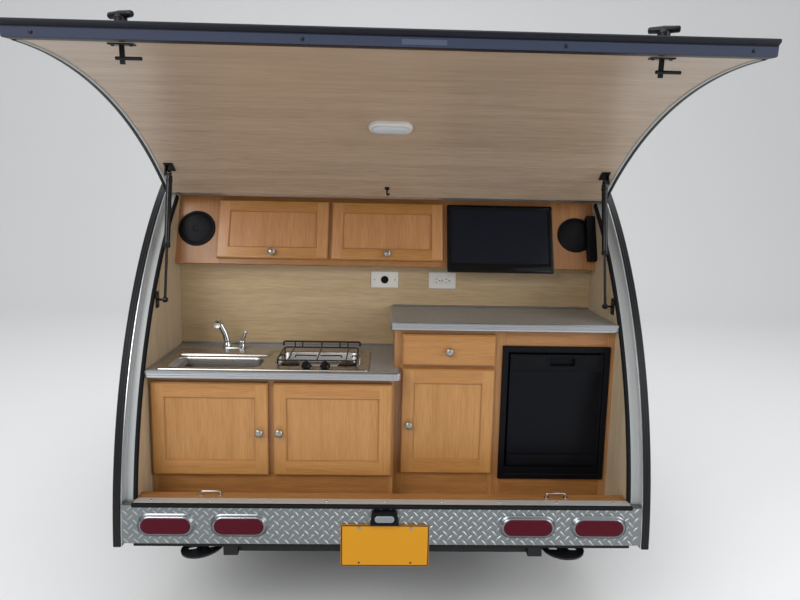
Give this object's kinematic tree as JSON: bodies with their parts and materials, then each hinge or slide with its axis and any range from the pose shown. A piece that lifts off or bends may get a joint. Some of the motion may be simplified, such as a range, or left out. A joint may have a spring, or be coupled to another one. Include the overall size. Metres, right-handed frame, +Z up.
{
  "type": "teardrop camping trailer",
  "caption": "Small rounded camping trailer with a rear galley under a lifting hatch, a sleeping cabin with side doors, one axle and an A-frame hitch.",
  "frame": {"origin": "middle of the trailer's footprint on the ground, with the hatch up", "axes": "+X to the trailer's right, +Y forward to the hitch, +Z up"},
  "size_m": [2.33, 4.8418, 2.0013],
  "materials": {
    "frame_paint": "satin black paint",
    "galvanised": "zinc-plated steel",
    "steel": "brushed stainless steel",
    "chrome": "polished chrome",
    "aluminium_skin": "mill-finish sheet",
    "tread_plate": "bright tread plate",
    "dark_trim": "dark anodised",
    "maple": "varnished maple",
    "birch_ply": "clear-coated plywood",
    "laminate": "speckled laminate",
    "black_plastic": "black moulded plastic",
    "lens_red": "red lens",
    "plate_yellow": "plain yellow paint",
    "rubber": "tyre rubber",
    "wheel_paint": "silver paint",
    "window_glass": "tinted",
    "cloth": "woven cover",
    "lamp_lens": "frosted lens"
  },
  "bodies": {
    "root": {"chassis": "frame_paint", "coupler": "frame_paint", "jack_tube": "galvanised", "axle": "frame_paint", "fenders": "aluminium_skin", "floor_deck": "birch_ply", "side_wall_left": "aluminium_skin", "side_wall_right": "aluminium_skin", "roof_shell": "aluminium_skin", "bulkhead": "birch_ply", "mattress": "cloth", "strut_studs": "frame_paint", "base_cabinet": "maple", "worktops": "laminate", "sink_unit": "steel", "faucet": "chrome", "fridge": "black_plastic", "upper_cabinet": "maple", "television": "black_plastic", "bumper": "tread_plate", "sill": "aluminium_skin", "tail_lamps": "lens_red", "licence_plate": "plate_yellow", "stabiliser_brackets": "frame_paint", "entry_hinges": "galvanised", "hinge_socket": "dark_trim", "speakers": "black_plastic"},
    "hatch": {"hatch_panel": "birch_ply", "hatch_bar": "dark_trim", "hatch_light": "lamp_lens", "hatch_studs": "frame_paint", "hinge_bead": "dark_trim", "hatch_latches": "black_plastic"},
    "strut_tube_left": {"strut_tube_left": "frame_paint"},
    "strut_rod_left": {"strut_rod_left": "chrome"},
    "wheel_left": {"wheel_left": "wheel_paint", "tyre_left": "rubber"},
    "entry_door_left": {"entry_door_left": "aluminium_skin", "window_left": "window_glass"},
    "sink_door_left": {"sink_door_left": "maple"},
    "upper_door_left": {"upper_door_left": "maple"},
    "stabiliser_leg_left": {"stabiliser_leg_left": "frame_paint"},
    "stabiliser_pad_left": {"stabiliser_pad_left": "frame_paint"},
    "strut_tube_right": {"strut_tube_right": "frame_paint"},
    "strut_rod_right": {"strut_rod_right": "chrome"},
    "wheel_right": {"wheel_right": "wheel_paint", "tyre_right": "rubber"},
    "entry_door_right": {"entry_door_right": "aluminium_skin", "window_right": "window_glass"},
    "sink_door_right": {"sink_door_right": "maple"},
    "upper_door_right": {"upper_door_right": "maple"},
    "stabiliser_leg_right": {"stabiliser_leg_right": "frame_paint"},
    "stabiliser_pad_right": {"stabiliser_pad_right": "frame_paint"},
    "jack_leg": {"jack_leg": "galvanised"},
    "pantry_door": {"pantry_door": "maple"},
    "drawer": {"drawer": "maple"},
    "fridge_door": {"fridge_door": "black_plastic"}
  },
  "joints": [
    {"name": "hatch_hinge", "type": "hinge", "parent": "root", "child": "hatch", "pos_m": [0, -1.26154, 1.62695], "axis": [-1, 0, 0], "range_deg": [-77, 0]},
    {"name": "strut_hinge_left", "type": "hinge", "parent": "hatch", "child": "strut_tube_left", "pos_m": [-0.826, -1.43977, 1.67454], "axis": [1, 0, 0], "range_deg": [-102.44, 0]},
    {"name": "strut_slide_left", "type": "slide", "parent": "strut_tube_left", "child": "strut_rod_left", "axis": [0, -0.2129, -0.9771], "range_m": [-0.1574, 0]},
    {"name": "wheel_spin_left", "type": "hinge", "parent": "root", "child": "wheel_left", "pos_m": [-1.048, -0.541, 0.33], "axis": [1, 0, 0], "continuous": true},
    {"name": "entry_hinge_left", "type": "hinge", "parent": "root", "child": "entry_door_left", "pos_m": [-0.9212, 0.5715, 1.04], "axis": [0, 0, -1], "range_deg": [0, 105]},
    {"name": "strut_hinge_right", "type": "hinge", "parent": "hatch", "child": "strut_tube_right", "pos_m": [0.826, -1.43977, 1.67454], "axis": [1, 0, 0], "range_deg": [-102.44, 0]},
    {"name": "strut_slide_right", "type": "slide", "parent": "strut_tube_right", "child": "strut_rod_right", "axis": [0, -0.2129, -0.9771], "range_m": [-0.1574, 0]},
    {"name": "wheel_spin_right", "type": "hinge", "parent": "root", "child": "wheel_right", "pos_m": [1.048, -0.541, 0.33], "axis": [1, 0, 0], "continuous": true},
    {"name": "entry_hinge_right", "type": "hinge", "parent": "root", "child": "entry_door_right", "pos_m": [0.9212, 0.5715, 1.04], "axis": [0, 0, 1], "range_deg": [0, 105]},
    {"name": "sink_hinge_left", "type": "hinge", "parent": "root", "child": "sink_door_left", "pos_m": [-0.845, -1.682, 0.759], "axis": [0, 0, -1], "range_deg": [0, 88]},
    {"name": "sink_hinge_right", "type": "hinge", "parent": "root", "child": "sink_door_right", "pos_m": [0.022, -1.682, 0.759], "axis": [0, 0, 1], "range_deg": [0, 100]},
    {"name": "pantry_hinge", "type": "hinge", "parent": "root", "child": "pantry_door", "pos_m": [0.406, -1.61, 0.77], "axis": [0, 0, 1], "range_deg": [0, 95]},
    {"name": "fridge_hinge", "type": "hinge", "parent": "root", "child": "fridge_door", "pos_m": [0.807, -1.596, 0.816], "axis": [0, 0, 1], "range_deg": [0, 95]},
    {"name": "drawer_slide", "type": "slide", "parent": "root", "child": "drawer", "axis": [0, -1, 0], "range_m": [0, 0.3]},
    {"name": "upper_hinge_left", "type": "hinge", "parent": "root", "child": "upper_door_left", "pos_m": [-0.4665, -1.21662, 1.57477], "axis": [-1, 0, 0], "range_deg": [0, 70]},
    {"name": "upper_hinge_right", "type": "hinge", "parent": "root", "child": "upper_door_right", "pos_m": [-0.001, -1.21662, 1.57477], "axis": [-1, 0, 0], "range_deg": [0, 70]},
    {"name": "jack_slide", "type": "slide", "parent": "root", "child": "jack_leg", "axis": [0, 0, 1], "range_m": [0, 0.2]},
    {"name": "stabiliser_hinge_left", "type": "hinge", "parent": "root", "child": "stabiliser_leg_left", "pos_m": [-0.645, -1.436, 0.388], "axis": [1, 0, 0], "range_deg": [0, 90]},
    {"name": "pad_hinge_left", "type": "hinge", "parent": "stabiliser_leg_left", "child": "stabiliser_pad_left", "pos_m": [-0.645, -1.791, 0.388], "axis": [1, 0, 0], "range_deg": [-90.5, 0]},
    {"name": "stabiliser_hinge_right", "type": "hinge", "parent": "root", "child": "stabiliser_leg_right", "pos_m": [0.645, -1.436, 0.388], "axis": [1, 0, 0], "range_deg": [0, 90]},
    {"name": "pad_hinge_right", "type": "hinge", "parent": "stabiliser_leg_right", "child": "stabiliser_pad_right", "pos_m": [0.645, -1.791, 0.388], "axis": [1, 0, 0], "range_deg": [-90.5, 0]}
  ],
  "couplings": [
    {"joint": "strut_hinge_left", "follows": "hatch_hinge", "ratio": 1.3238},
    {"joint": "strut_slide_left", "follows": "hatch_hinge", "m_per_rad": 0.1164},
    {"joint": "pad_hinge_left", "follows": "stabiliser_hinge_left", "ratio": -1},
    {"joint": "strut_hinge_right", "follows": "hatch_hinge", "ratio": 1.3238},
    {"joint": "strut_slide_right", "follows": "hatch_hinge", "m_per_rad": 0.1164},
    {"joint": "pad_hinge_right", "follows": "stabiliser_hinge_right", "ratio": -1}
  ]
}
